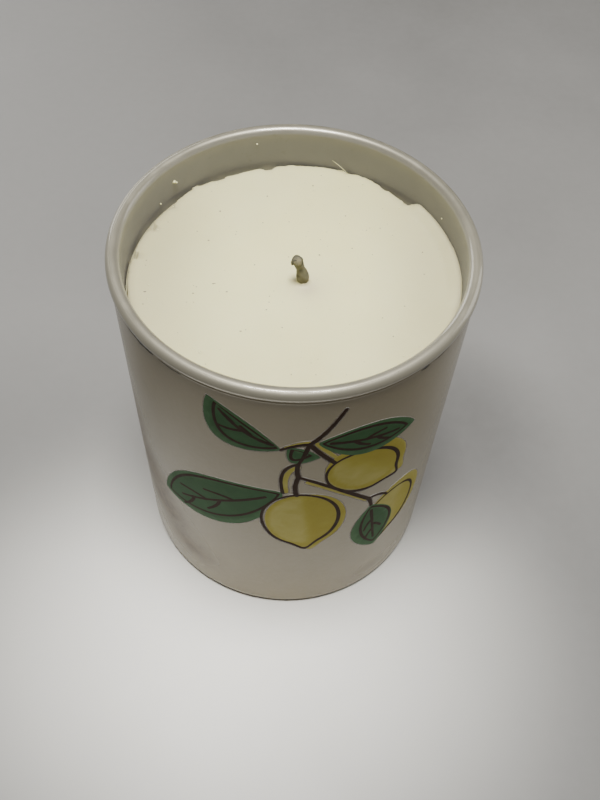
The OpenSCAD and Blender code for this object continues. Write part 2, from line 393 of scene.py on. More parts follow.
def tinplate():
    """Bright tinned steel with drawn scratches."""
    m = new_material("tab_metal")
    scratch = m.speckle(500, detail=5, stretch=(1, 8, 1))
    tarnish = m.band(0.4, 0.7, 180, detail=3)
    colour = m.mix(tarnish, (0.68, 0.69, 0.7), (0.52, 0.51, 0.48))
    gloss = m.spread(scratch, 0.3, 0.7, 0.22, 0.42)
    return m.shade(colour, gloss, m.bumps(scratch, 0.00003, 0.5), {"Metallic": 1.0})


def pad_foam():
    """Pale adhesive foam with open cells."""
    m = new_material("pad_foam")
    cells = m.add("TexVoronoi", {"Vector": m.place(), "Scale": 2400.0})
    colour = m.mix(cells, (0.88, 0.85, 0.76), (0.7, 0.66, 0.56))
    return m.shade(colour, 0.85, m.bumps(cells, 0.0001, 0.7))


def label_paper():
    """Blank uncoated label paper with fibres and a little handling dirt."""
    m = new_material("label_paper")
    fibre = m.speckle(1900, detail=6, roughness=0.7)
    dirt = m.band(0.5, 0.8, 75)
    colour = m.mix(fibre, (0.8, 0.785, 0.74), (0.88, 0.87, 0.83))
    colour = m.tint(dirt, 0.3, colour, (0.62, 0.58, 0.5))
    return m.shade(colour, m.spread(fibre, 0.3, 0.7, 0.75, 0.92), m.bumps(fibre, 0.00008, 0.5))


# ---- Glass ----


# Rounding of the foot ring's inner edge
FOOT_ROUND = 0.5


def glass_body():
    """The tumbler turned about its axis, with a fire-polished rim and softened foot."""
    bead_foot = -degrees(acos((GLASS_R - BEAD_X) / BEAD_R))
    corner_x, corner_z = INNER_R - CORNER_R, WAX_FLOOR + CORNER_R
    profile = line((0, PUNT_DEPTH), (PUNT_R - FOOT_ROUND, PUNT_DEPTH), 8)
    profile += arc(PUNT_R - FOOT_ROUND, PUNT_DEPTH - FOOT_ROUND, FOOT_ROUND, 90, 0, 5)
    profile += arc(PUNT_R + FOOT_ROUND, FOOT_ROUND, FOOT_ROUND, 180, 270, 5)
    profile += line((PUNT_R + FOOT_ROUND + 0.1, 0), (HEEL_X, 0), 5)
    profile += arc(HEEL_X, HEEL_R, HEEL_R, -90, 0, 12)
    bead = arc(BEAD_X, BEAD_Z, BEAD_R, bead_foot, 180, 40)
    profile += line((GLASS_R, HEEL_R + 1), bead[0], 30) + bead
    profile += line((INNER_R, BEAD_Z - 0.3), (INNER_R, corner_z), 40)
    profile += arc(corner_x, corner_z, CORNER_R, 0, -90, 12)
    profile += line((corner_x - 1, WAX_FLOOR), (0, WAX_FLOOR), 8) + [(0, WAX_FLOOR)]
    columns = 360
    azimuth = np.linspace(0, 2 * pi, columns, endpoint=False)
    r, z = (np.repeat(np.array(profile)[:, k : k + 1], columns, 1) for k in (0, 1))
    # The inner wall and the rim wander a little, as pressed glass does
    inside = smooth(z, 20, 60) * smooth(r, 36, 36.9) * smooth(-r, -GLASS_R + 0.01, -GLASS_R + 0.3)
    r = r + inside * (0.025 * np.sin(2 * azimuth + 0.7) + 0.012 * np.sin(5 * azimuth + 2 + z / 9))
    top = smooth(z, HEIGHT - 3, HEIGHT)
    z = z - top * 0.035 * (1 + np.sin(2 * azimuth + 1.1) * 0.6 + np.sin(7 * azimuth) * 0.4)
    verts = around(r, z, azimuth).reshape(-1, 3)
    faces = grid_faces(len(profile), columns)
    # The rim's mask: painted light on the bead's top, fading over the top 4.5 mm into painted shade
    # down the inner wall
    pearl = 0.25 * smooth(z, HEIGHT - 4.5, HEIGHT - 1)
    pearl = pearl + 0.75 * smooth(z, HEIGHT - 1.3, HEIGHT - 0.2)
    foot = smooth(-z, -HEEL_R, -PUNT_DEPTH)
    make_piece(
        "glass_body", verts, faces, opal_glass(), "opal_glass", ["glass_tumbler"],
        rim=pearl.ravel(), foot=foot.ravel(),
    )


# ---- Lacquer ----

# Chips in the fold under the rim: azimuth, half-width in degrees, half-height, strength
CHIPS = [
    (-58, 3.5, 0.45, 1.0), (-53, 3.6, 0.5, 1.0), (-48.5, 3.2, 0.65, 1.0), (-44, 2.6, 0.45, 1.0),
    (-35, 5, 0.25, 0.8), (43.5, 2.0, 0.5, 1.0), (50, 4, 0.22, 0.6), (150, 2, 0.5, 0.9),
]
# How far below the fold they lie, and how deep and how high they can be
CHIP_DROP = 0.62
CHIP_DEPTH = 0.07
CHIP_HEIGHT = 1.2
# Rubbed and smudged places: azimuth, height, half-width in degrees, half-height, strength
WEAR = [
    (-59, 39, 14, 9, 1.0), (-51, 26, 14, 7, 1.0), (-38, 15, 12, 5, 0.9), (-66, 55, 8, 10, 0.5),
    (38, 8, 10, 3, 0.3), (140, 30, 20, 12, 0.25), (-150, 70, 18, 10, 0.2), (100, 50, 10, 20, 0.12),
]
# Radius of the lacquer's fillet in the fold between the rim and the wall
FOLD_R = 0.45
# A run of lacquer: how far it stands off the wall, and where it starts and ends below the fold
RUN_RISE = 0.035
RUN_SPAN = (0.8, 0.05)
# The wall is meshed finely from here up to the fold
CHIP_REACH = 2.4


def off_by(azimuth, middle):
    """Degrees from one azimuth to another, from -180 to 180."""
    return (azimuth - middle + 180) % 360 - 180


def wear_at(azimuth, z):
    """How rubbed the coat is there, from 0 to 1."""
    total = 0.0
    for middle, height, half, half_height, strength in WEAR:
        across = off_by(azimuth, middle) / half
        total += strength * exp(-(across**2) - ((z - height) / half_height) ** 2)
    return min(total, 1.0)


def chip_at(azimuth, z, fold_z):
    """How far the coat is chipped away there, from 0 to 1, which also sets the painted shade in the
    chip.
    """
    height = z - fold_z + CHIP_DROP
    if abs(height) > CHIP_HEIGHT:
        return 0.0
    total = 0.0
    for middle, half, half_height, strength in CHIPS:
        across = off_by(azimuth, middle) / half
        away = hypot(across, height / half_height)
        away += 0.45 * wave(azimuth * 0.9, z * 2.4, middle)
        total += strength * smooth(-away, -1.0, -0.7)
    return min(total, 1.0)


def coat_outline():
    """The lacquer's outside, up the heel, the wall, the fold and the rim, and the fold's height."""
    over_bead = BEAD_R + COAT_T
    fold_x = COAT_R + FOLD_R
    drop = sqrt((over_bead + FOLD_R) ** 2 - (fold_x - BEAD_X) ** 2)
    fold_z = BEAD_Z - drop
    fold_end = degrees(atan2(drop, BEAD_X - fold_x))
    heel_start = -degrees(asin((HEEL_R - COAT_FOOT) / (HEEL_R + COAT_T)))
    outline = arc(HEEL_X, HEEL_R, HEEL_R + COAT_T, heel_start, 0, 10)
    outline += line((COAT_R, HEEL_R + 0.9), (COAT_R, fold_z - CHIP_REACH), 60)
    for below in np.linspace(CHIP_REACH, 0.03, 34):
        share = np.clip((RUN_SPAN[0] - below) / (RUN_SPAN[0] - RUN_SPAN[1]), 0, 1)
        outline.append((COAT_R + RUN_RISE * sin(pi * share) ** 2, fold_z - below))
    outline += arc(fold_x, fold_z, FOLD_R, 180, fold_end, 8)
    outline += arc(BEAD_X, BEAD_Z, over_bead, fold_end - 180, COAT_REACH, 34)[1:]
    return outline, fold_z


def coat_shell():
    """The lacquer: a thin skin from the heel to partway round the rim, chipped in the fold."""
    columns = 540
    azimuths = np.linspace(-180, 180, columns, endpoint=False)
    outline, fold_z = coat_outline()
    rows = [(np.full(columns, x), np.full(columns, z)) for x, z in outline]
    # Chip depth, which also sets the near-black painted shade in the fold
    chip = [[chip_at(a, z, fold_z) for a in azimuths] for _, z in outline]
    rows = [(r - CHIP_DEPTH * np.array(cut), z) for (r, z), cut in zip(rows, chip)]
    # The coat thins out along an uneven edge near the top of the rim
    uneven = [4 * wave(a / 9, 1) + 3 * wave(a / 1.8, 4) for a in azimuths]
    reach = np.radians(COAT_REACH + 3 + np.array(uneven))
    for ahead, thickness in ((-0.1, 0.75), (-0.05, 0.5), (0.0, 0.1), (0.0, -0.5)):
        radius = BEAD_R + COAT_T * thickness
        turn = reach + ahead
        rows.append((BEAD_X + radius * np.cos(turn), BEAD_Z + radius * np.sin(turn)))
    inner = arc(BEAD_X, BEAD_Z, BEAD_R - BOND, COAT_REACH - 10, -48, 14)
    inner += line((GLASS_R - BOND, BEAD_Z - 2), (GLASS_R - BOND, HEEL_R), 4)
    drop = -degrees(asin((HEEL_R - COAT_FOOT) / (HEEL_R - BOND)))
    inner += arc(HEEL_X, HEEL_R, HEEL_R - BOND, 0, drop, 8)
    rows += [(np.full(columns, x), np.full(columns, z)) for x, z in inner]
    r = np.array([row[0] for row in rows])
    z = np.array([row[1] for row in rows])
    verts = around(r, z, np.radians(azimuths)).reshape(-1, 3)
    wear = [wear_at(a, h) for line_z in z for a, h in zip(azimuths, line_z)]
    chip = [value for row in chip for value in row]
    chip += [0.0] * (len(wear) - len(chip))
    above_level = np.degrees(np.arctan2(z - BEAD_Z, np.maximum(r - BEAD_X, 0.01)))
    rim = smooth(above_level, -35, 15).ravel()
    faces = grid_faces(len(rows), columns, wrap_rows=True)
    make_piece(
        "coat_shell", verts, faces, cream_lacquer(), "cream_lacquer", ["lacquer_coat"],
        wear=wear, chip=chip, rim=rim, upper=smooth(z, 50, 88).ravel(),
    )


# ---- Print: flat drawing, s to the right of the front line and z up, as in the CAD source ----

# Leaves: base, tip, belly left and right of the midrib, seen from the base, and the same two of
# the drawn outline, which is mostly narrower than the green
LEAVES = {
    "upper_left": ((-0.4, 80.3), (-15.6, 94.2), 9.2, 1.5, 7.8, 1.5),
    "right": ((7.2, 82.5), (30.4, 77.6), 5.6, 5.6, 5.6, 4.5),
    "lower_left": ((0.3, 62.4), (-32.5, 40), 9.2, 9.8, 7.2, 9.8),
    "middle": ((1, 81.2), (7.8, 77), 1.2, 4.4, 1.2, 4.4),
    "lower_right": ((22.4, 47.8), (26, 23.2), 6.2, 6.2, 6.7, 4.6),
}
# Lemons: centre, half-width, half-length, turn in degrees from nib downwards
LEMONS = {
    "front": ((4.6, 49.2), 9.1, 12.2, 6),
    "upper": ((18.7, 66.8), 7.8, 10.0, 48),
    "behind": ((28.8, 38.8), 8.2, 10.8, -8),
}
# Their colours: shift off the outline, how much larger they are, half-width of the change from
# the pale half to the deep one, and how pale they are all over
FRUITS = {
    "front": ((1.3, -0.4), 0.5, 0.18, 0.1),
    "upper": ((0.9, 1.6), 1.2, 0.5, 0.05),
    "behind": ((1.6, 1.4), 0.9, 0.5, 0.35),
}
# Height of a lemon's nib, and its spread in degrees
NIB = 2.7
NIB_SPREAD = 13.5
# Width of the drawn outlines, how far inside a leaf's green they run, and how the brush varies
OUTLINE_W = 0.85
OUTLINE_INSET = 1.6
BRUSH = 0.22
# Points along each side of a leaf
LEAF_STEPS = 44
# The drawn outline stops this much further short of a leaf's tip
TIP_HELD = 1.2
# Widths where the stems and the leaves' veins start
STEM_W = 1.1
VEIN_W = 1.0
# How far the clear film reaches past the print
FILM_MARGIN = 0.3
FORK_TOP = (5.4, 82.4)
FORK_MID = (3.3, 74.6)
FORK_LOW = (3.6, 69.2)
FORK_RIGHT = (21.2, 52)
# Stems: start, point headed for, end, width at each end as shares of the stem's
STEMS = [
    (FORK_TOP, (8.5, 85), (12.2, 93.5), 1, 0.7),
    (FORK_TOP, (2.5, 82.6), LEAVES["upper_left"][0], 1, 0.7),
    (FORK_TOP, (8, 78), (11.2, 73.9), 1, 1),
    (FORK_TOP, (4.6, 78), FORK_MID, 1, 0.7),
    (FORK_MID, (-1.5, 73.5), LEAVES["lower_left"][0], 0.7, 0.7),
    (FORK_MID, (2.9, 72), FORK_LOW, 1, 1),
    (FORK_LOW, (2.4, 65.5), (3.4, 61.2), 1, 1),
    (FORK_LOW, (11, 65), FORK_RIGHT, 0.7, 1),
    (FORK_RIGHT, (22, 50.5), LEAVES["lower_right"][0], 1, 0.7),
    (FORK_RIGHT, (24, 52.6), (26.6, 49.6), 0.7, 0.7),
]
BRANCHES = {"upper_left": 3, "right": 3, "lower_left": 4, "lower_right": 3}
# The film and each ink are thinner than their CAD solids, and sink a little into what is below
FILM_T = 0.05
INK_T = 0.025
SUNK = 0.01
# Height of a layer's rounded edge as a share of its thickness
LIP_SHARE = 0.75
# Pale washes of colour beside the stems: which stem, shift to the side, width
WASHES = [(4, (0.9, -0.8), 1.3), (7, (0.4, -1.3), 1.2), (2, (1.1, 0.9), 1.2), (1, (0.6, 0.7), 0.8)]
# Distance between the points that bend the flat drawing round the jar
PITCH = 0.9


def unit(v):
    return v / np.linalg.norm(v)


def left_of(v):
    return np.array((-v[1], v[0]))


def belly(t):
    """Half-width of a leaf at a share of its length, as a share of the largest."""
    return sin(pi * t) ** 0.8


def turned(x, y, angle):
    """A point turned about the origin by an angle in radians."""
    return x * cos(angle) - y * sin(angle), x * sin(angle) + y * cos(angle)


def leaf_ends(leaf):
    return np.array(leaf[0], float), np.array(leaf[1], float)


def leaf_points(leaf, grow):
    """Outline of a leaf, drawn larger by grow all round."""
    start, end = leaf_ends(leaf)
    direction = unit(end - start)
    side = left_of(direction)
    held = TIP_HELD if grow < -0.3 else 0.0
    base, tip = start - direction * grow, end + direction * (grow - held)
    left, right = max(leaf[2] + grow, 0.2), max(leaf[3] + grow, 0.2)
    shares = [i / LEAF_STEPS for i in range(1, LEAF_STEPS)]
    going = [base + (tip - base) * t + side * left * belly(t) for t in shares]
    back = [base + (tip - base) * t - side * right * belly(t) for t in reversed(shares)]
    return [base, *going, tip, *back]


def lemon_points(lemon, grow, shift=(0, 0), brush=0.0):
    """Outline of a lemon with its nib; brush makes the growth swell and thin along the way."""
    centre = np.array(lemon[0], float) + shift
    turn = radians(lemon[3])
    points = []
    for a in range(0, 360, 3):
        more = grow + brush * (0.5 * sin(radians(a) + 2.6) + 0.25 * wave(a / 25, lemon[1]))
        bump = NIB * exp(-(((a - 270) / NIB_SPREAD) ** 2))
        x = (lemon[1] + more) * cos(radians(a))
        y = (lemon[2] + more) * sin(radians(a)) - bump
        points.append(centre + turned(x, y, turn))
    return points


def curve(a, b, c):
    """A curve from a to c that heads for b on the way."""
    a, b, c = (np.array(p, float) for p in (a, b, c))
    return [a * (1 - t) ** 2 + b * 2 * t * (1 - t) + c * t**2 for t in np.linspace(0, 1, 19)]


def end_cap(centre, side, half):
    """Points round the end of a brush stroke, from its left to its right."""
    ahead = np.array((side[1], -side[0]))
    turns = (0.25 * pi, 0.5 * pi, 0.75 * pi)
    return [centre + half * (side * cos(a) + ahead * sin(a)) for a in turns]


def stroke_points(path, w_start, w_end, grow):
    """Outline of a brush stroke with round ends and a slightly uneven width."""
    last = len(path) - 1
    sides, halves = [], []
    for i in range(last + 1):
        sides.append(left_of(unit(path[min(i + 1, last)] - path[max(i - 1, 0)])))
        uneven = 1 + 0.16 * wave(path[i][0] * 0.9, path[i][1] * 0.9)
        halves.append((w_start + (w_end - w_start) * i / last) / 2 * uneven + grow)
    out = [path[i] + sides[i] * halves[i] for i in range(last + 1)]
    back = [path[i] - sides[i] * halves[i] for i in range(last, -1, -1)]
    far_end = end_cap(path[last], sides[last], halves[last])
    return out + far_end + back + end_cap(path[0], -sides[0], halves[0])


def vein_paths(name):
    """The midrib of a leaf and the branches that leave it in turn to the left and right."""
    left, right = LEAVES[name][2:4]
    start, end = leaf_ends(LEAVES[name])
    along = end - start
    side = left_of(unit(along))
    middle = start + along * 0.45 + side * (left - right) * 0.35
    to = start + along * 0.8 + side * (left - right) * 0.1
    rib = curve(start + along * 0.12, middle, to)
    paths = [rib]
    for i in range(1, BRANCHES[name] + 1):
        leave = rib[3 * (i + 1)]
        turn = left if i % 2 == 0 else -right
        out = leave + along * 0.17 + side * turn * 0.4
        paths.append(curve(leave, leave + along * 0.05 + side * turn * 0.25, out))
    return paths


def signed_area(ring):
    """Area inside a closed outline, negative where it runs clockwise."""
    x, y = np.array(ring).T
    return float(x @ np.roll(y, -1) - y @ np.roll(x, -1)) / 2


def sides_of(cell):
    return zip(cell, [*cell[1:], cell[0]])


def flat_cells(shapes, keep, soft):
    """Points of the flat drawing, and the cells that keep() picks by the names of the shapes over
    them. Each shape is also outlined soft inside and outside of itself."""
    points, edges, loops, owners = [], [], [], []
    for key, outline in shapes.items():
        for grow in (0.0, -soft, soft):
            ring = outline(grow)
            first = len(points)
            points += [tuple(p) for p in ring]
            edges += [(first + i, first + (i + 1) % len(ring)) for i in range(len(ring))]
            if grow == 0.0:
                loop = list(range(first, first + len(ring)))
                loops.append(loop if signed_area(ring) > 0 else loop[::-1])
                owners.append(key)
    flat = np.array(points)
    for s in np.arange(flat[:, 0].min(), flat[:, 0].max(), PITCH):
        for z in np.arange(flat[:, 1].min(), flat[:, 1].max(), PITCH):
            points.append((s + 0.2 * wave(s, z, 3), z + 0.2 * wave(s, z, 7)))
    made = geometry.delaunay_2d_cdt([Vector(p) for p in points], edges, loops, 0, 1e-5, True)
    spots, _, cells, _, _, inside = made
    return spots, [cell for cell, ids in zip(cells, inside) if keep({owners[i] for i in ids})]


def inked_layer(name, shapes, keep, inner, outer, tone, material, slot, replaced, soft=0.12):
    """A layer of ink or film between two distances outside the coat, over the cells that keep()
    picks, with edges rounded over soft. Edges that face up to the light get a 0 to 1 mask for a
    painted highlight."""
    spots, kept = flat_cells(shapes, keep, soft)
    count = {}
    for cell in kept:
        for pair in map(frozenset, sides_of(cell)):
            count[pair] = count.get(pair, 0) + 1
    border = [pair for cell in kept for pair in sides_of(cell) if count[frozenset(pair)] == 1]
    # How much each border edge faces up, the mask of the painted highlight
    caught = {}
    for a, b in border:
        run = spots[b] - spots[a]
        upward = max(-run.x / max(run.length, 1e-6), 0.0)
        for v in (a, b):
            caught[v] = max(caught.get(v, 0.0), upward**2)
    used = sorted({v for cell in kept for v in cell})
    index = {v: i for i, v in enumerate(used)}
    s = np.array([spots[v][0] for v in used])
    z = np.array([spots[v][1] for v in used])
    lip = np.array([LIP_SHARE if v in caught else 1.0 for v in used])
    top = around(COAT_R + inner + (outer - inner) * lip, z, s / COAT_R)
    under = around(np.full(len(used), COAT_R + inner), z, s / COAT_R)
    n = len(used)
    faces = [tuple(index[v] for v in cell) for cell in kept]
    faces += [tuple(index[v] + n for v in reversed(cell)) for cell in kept]
    faces += [(index[b], index[a], index[a] + n, index[b] + n) for a, b in border]
    tones = [tone(float(u), float(v)) for u, v in zip(s, z)]
    painted_glints = [caught.get(v, 0.0) for v in used]
    make_piece(
        name, np.concatenate([top, under]), faces, material, slot, replaced,
        sharp=50, tone=tones + tones, caught=painted_glints + painted_glints,
    )


def leaf_tone(s, z):
    """Deep inside the drawn outline of a leaf and paler outside it."""
    best = 1.0
    for leaf in LEAVES.values():
        start, end = leaf_ends(leaf)
        direction = unit(end - start)
        t = float((np.array((s, z)) - start) @ direction / np.linalg.norm(end - start))
        if 0.0 < t < 1.0:
            off = float((np.array((s, z)) - start) @ left_of(direction))
            half = (leaf[2] if off > 0 else leaf[3]) * belly(t)
            gap = half - abs(off)
            if abs(off) / max(half, 0.3) <= 1.05:
                outside = smooth(-gap, -OUTLINE_INSET - 0.4, -OUTLINE_INSET + 0.2)
                best = min(best, 0.4 + 0.45 * outside)
    return best + 0.12 * wave(s / 3, z / 3, 1)


def lemon_tone(s, z):
    """Pale on the lit left half of each fruit and deep on the right."""
    tone = 0.75
    for key, lemon in reversed(LEMONS.items()):
        off, _, half, pale = FRUITS[key]
        turn = radians(lemon[3])
        away = np.array((s, z)) - np.array(lemon[0], float) - off
        x, y = np.array(turned(*away, -turn)) / lemon[1:3]
        if x * x + y * y < 1.25:
            bright = 1 - smooth(x, -half, half)
            outside = smooth(x * x + y * y, 0.8, 1.0)
            tone = 0.15 + pale + 0.75 * bright * (1 - outside) + 0.2 * outside
    return tone + 0.1 * wave(s / 2.5, z / 2.5, 9)


def growing(draw, *shape, more=0.0, **settings):
    """An outline as a function of how much larger it is drawn, on top of more."""
    return lambda grow: draw(*shape, grow=more + grow, **settings)


def print_shapes():
    """The named shapes of the flat drawing, each an outline that can be grown."""
    leaves = {key: growing(leaf_points, leaf) for key, leaf in LEAVES.items()}
    fruits, washes, strokes, rings = {}, {}, {}, {}
    for key, (off, more, _, _) in FRUITS.items():
        fruits[key + "_colour"] = growing(lemon_points, LEMONS[key], more=more, shift=off)
    for i, (stem, shift, width) in enumerate(WASHES):
        path = [p + np.array(shift) for p in curve(*STEMS[stem][:3])]
        washes[f"wash_{i}"] = growing(stroke_points, path[2:-1], width, 0.8 * width)
    for i, (*ends, w_start, w_end) in enumerate(STEMS):
        path = curve(*ends)
        strokes[f"stem_{i}"] = growing(stroke_points, path, w_start * STEM_W, w_end * STEM_W)
    for leaf in BRANCHES:
        for i, path in enumerate(vein_paths(leaf)):
            strokes[f"vein_{leaf}_{i}"] = growing(stroke_points, path, VEIN_W, 0.7 * VEIN_W)
    for key, lemon in LEMONS.items():
        half = OUTLINE_W / 2
        rings[key + "_out"] = growing(lemon_points, lemon, more=half, brush=BRUSH)
        rings[key + "_in"] = growing(lemon_points, lemon, more=-half, brush=-BRUSH)
    for key, (base, tip, _, _, *bellies) in LEAVES.items():
        leaf = (base, tip, *bellies)
        rings[key + "_out"] = growing(leaf_points, leaf, more=OUTLINE_W - OUTLINE_INSET)
        rings[key + "_in"] = growing(leaf_points, leaf, more=-OUTLINE_INSET)
    return leaves, fruits, washes, strokes, rings


def print_layers():
    """The three inks, and the clear film under them."""
    leaves, fruits, washes, strokes, rings = print_shapes()
    front = {"front_colour": fruits["front_colour"], "front_out": rings["front_out"]}
    over_fruit = {"right", "lower_right"}
    above_film = (FILM_T - SUNK, FILM_T + INK_T)

    def in_green(names):
        return bool(names & set(leaves)) and not names & set(front)

    def in_yellow(names):
        if names & set(fruits):
            return not names & over_fruit
        return bool(names & set(washes)) and not names & set(leaves)

    # What hides the outline of each fruit and leaf
    hiders = {**dict.fromkeys(LEMONS, over_fruit), "front": set()}
    hiders.update(dict.fromkeys(LEAVES, {"front_out"}))

    def in_brown(names):
        drawn = [key for key in hiders if key + "_out" in names and key + "_in" not in names]
        return bool(names & set(strokes)) or any(not names & hiders[key] for key in drawn)

    inked_layer(
        "leaf_greens", {**leaves, **front}, in_green, *above_film, leaf_tone,
        screen_ink("green_ink"), "green_ink", ["leaf_ink"],
    )
    inked_layer(
        "lemon_yellows", {**fruits, **washes, **leaves}, in_yellow, *above_film, lemon_tone,
        screen_ink("yellow_ink"), "yellow_ink", ["lemon_ink"],
    )
    over = {key: leaves[key] for key in sorted(over_fruit)}
    inked_layer(
        "brown_lines", {**strokes, **rings, **over}, in_brown, FILM_T - SUNK, FILM_T + 2 * INK_T,
        lambda s, z: 0.4 + 0.5 * wave(s / 2, z / 2, 4),
        screen_ink("brown_ink"), "brown_ink", ["line_ink"],
    )
    grown = {**leaves, **fruits, **washes}
    grown.update({key: value for key, value in strokes.items() if key.startswith("stem")})
    grown.update({key + "_out": rings[key + "_out"] for key in LEMONS})
    film = {key: growing(value, more=FILM_MARGIN) for key, value in grown.items()}
    inked_layer(
        "film_skin", film, bool, -SUNK, FILM_T, lambda s, z: 0.5,
        clear_film(), "print_film", ["print_film"], soft=0.22,
    )


# ---- Wax ----

# Edge of the wax's top: degrees clockwise from the back, radius
WAX_EDGE = [
    (-180, 36.6), (-120, 36.6), (-82, 36.4), (-70, 35.8), (-55, 35.7), (-47, 36.3), (-38, 36.0),
    (-25, 35.6), (-14, 36.1), (-3, 36.3), (8, 36.7), (20, 37.1), (32, 36.4), (40, 35.7),
    (46, 35.8), (49, 37.2), (100, 37.3), (125, 36.8), (180, 36.6),
]
# Nicks in it, or tongues where the depth is negative: the same angle, half-width, depth
WAX_NICKS = [
    (-85, 2.2, 1.2), (-70, 2.6, 1.3), (-57, 2, 0.9), (-43, 2.2, -0.7), (-33, 3, 0.5),
    (-13, 3, 0.9), (-4, 2, -0.3), (19, 2.5, 0.5), (27, 3, -0.25), (34, 2, 0.35),
    (45.5, 1.8, 0.45), (72, 3, 0.25),
]
# Between these two angles the wax stands higher against the glass
LIP = (48, 104)
LIP_RISE = 1.2
# How far the wax falls between its edge and the glass
GAP_DEPTH = 1.6
# How finely the edge is worked out
EDGES_PER_DEGREE = 2


def wax_edge(clockwise):
    """Radius where the top of the wax ends, at an angle in degrees clockwise from the back."""
    angle = (clockwise + 180) % 360 - 180
    base = np.interp(angle, [p[0] for p in WAX_EDGE], [p[1] for p in WAX_EDGE])
    for middle, half, depth in WAX_NICKS:
        base -= depth * smooth(-abs(angle - middle) / half, -1.0, -0.4)
    ragged = smooth(angle, -100, -88) * smooth(-angle, 25, 40)
    return base + 0.2 * wave(angle / 5.0, 2) + (0.1 + 0.16 * ragged) * wave(angle / 1.3, 8)


EDGE_RADII = [wax_edge(i / EDGES_PER_DEGREE) for i in range(360 * EDGES_PER_DEGREE)]


def wax_height(x, y):
    """Height of the wax's surface above its nominal level, how stained it is, and how much painted
    shade darkens it towards its edge and its left and right.
    """
    r = hypot(x, y)
    clockwise = degrees(atan2(x, y))
    edge = EDGE_RADII[round(clockwise * EDGES_PER_DEGREE) % len(EDGE_RADII)]
    from_wick = hypot(x - WICK.x, y - WICK.y)
    level = 0.06 * wave(x / 13, y / 13, 1) + 0.025 * wave(x / 3.1, y / 3.1, 2) - 0.1
    level -= 0.35 * exp(-((from_wick / 3.6) ** 2))
    level += 0.85 * exp(-max(from_wick - 1.25, 0) / 0.34)
    in_lip = smooth(clockwise, LIP[0] - 2, LIP[0] + 3) * smooth(-clockwise, -LIP[1], -LIP[1] + 14)
    level += in_lip * LIP_RISE * smooth(r, 33.2, 36.6) * (1 + 0.15 * wave(clockwise / 6, 3))
    rounding = float(smooth(r, edge - 0.9, edge)) ** 2 * 0.22
    fall = smooth(r, edge - 0.12, edge + 0.22) * GAP_DEPTH * (1 - 0.9 * in_lip)
    from_stain = hypot(x - WICK.x - 1.0, y - WICK.y + 1.6)
    stain = 0.6 * exp(-((from_stain / 2.6) ** 2)) + 0.4 * exp(-((from_stain / 6.5) ** 2))
    # Painted shade, darker to the left and right and near the wax's edge
    painted_shade = 0.24 * smooth(r, 6, 33) + 0.46 * smooth(abs(x), 12, 36)
    painted_shade += 0.25 * smooth(r, edge - 2.2, edge)
    return level - rounding - fall, stain, painted_shade


def wax_block():
    """The wax: an uneven surface that has shrunk from the glass, down to the rounded bottom."""
    columns = 480
    radii = np.concatenate([np.linspace(0, 33, 120), np.linspace(33.12, 36.94, 60)])
    bonded = INNER_R + BOND
    corner = arc(INNER_R - CORNER_R, WAX_FLOOR + CORNER_R, CORNER_R + BOND, 0, -90, 10)
    side = [(bonded, WAX_TOP - GAP_DEPTH - 0.4), (bonded, WAX_TOP / 2)] + corner
    side += [(INNER_R - CORNER_R - 15, WAX_FLOOR - BOND), (0, WAX_FLOOR - BOND)]
    azimuth = np.linspace(0, 2 * pi, columns, endpoint=False)
    verts, stain, near = [], [], []
    for r in radii:
        for a in azimuth:
            x, y = r * sin(a), -r * cos(a)
            # The third value is the painted shade, darker towards the wax's edge and its sides
            level, stained, edge = wax_height(x, y)
            verts.append((x, y, WAX_TOP + level))
            stain.append(stained)
            near.append(edge)
    for r, z in side:
        verts += list(around(np.full(columns, r), np.full(columns, z), azimuth))
        stain += [0.0] * columns
        near += [0.0] * columns
    faces = grid_faces(len(radii) + len(side), columns)
    return make_piece(
        "wax_block", verts, faces, soy_wax(), "wax", ["wax_fill"],
        sharp=75, stain=stain, edge=near,
    )


def lump(centre, size, rng, stretch):
    """A small irregular crumb: vertices and faces of a dented ball."""
    ball = bmesh.new()
    bmesh.ops.create_icosphere(ball, subdivisions=2, radius=1)
    seed = rng.random() * 50
    verts = []
    for v in ball.verts:
        dent = 1 + 0.35 * wave(v.co.x * 1.6 + seed, v.co.y * 1.6, v.co.z * 1.6)
        verts.append(np.array(v.co) * dent * size * np.array(stretch) + centre)
    faces = [[v.index for v in f.verts] for f in ball.faces]
    ball.free()
    return verts, faces


def joined(parts):
    """Several vertex and face lists as one."""
    verts, faces = [], []
    for more, cells in parts:
        faces += [tuple(i + len(verts) for i in cell) for cell in cells]
        verts += list(more)
    return verts, faces


def clockwise_point(angle, radius, z):
    """A point by its angle in degrees clockwise from the back."""
    a = radians(angle)
    return np.array((radius * sin(a), radius * cos(a), z))


# Crumbs on the glass: degrees clockwise from the back, height, size
CRUMBS = [
    (-52, 94.6, 0.42), (-51, 94.0, 0.25), (-17, 96.6, 0.22), (-60, 91.5, 0.2), (63, 93.5, 0.18),
]
LOOSE_CRUMBS = 14
SPECKS = 120


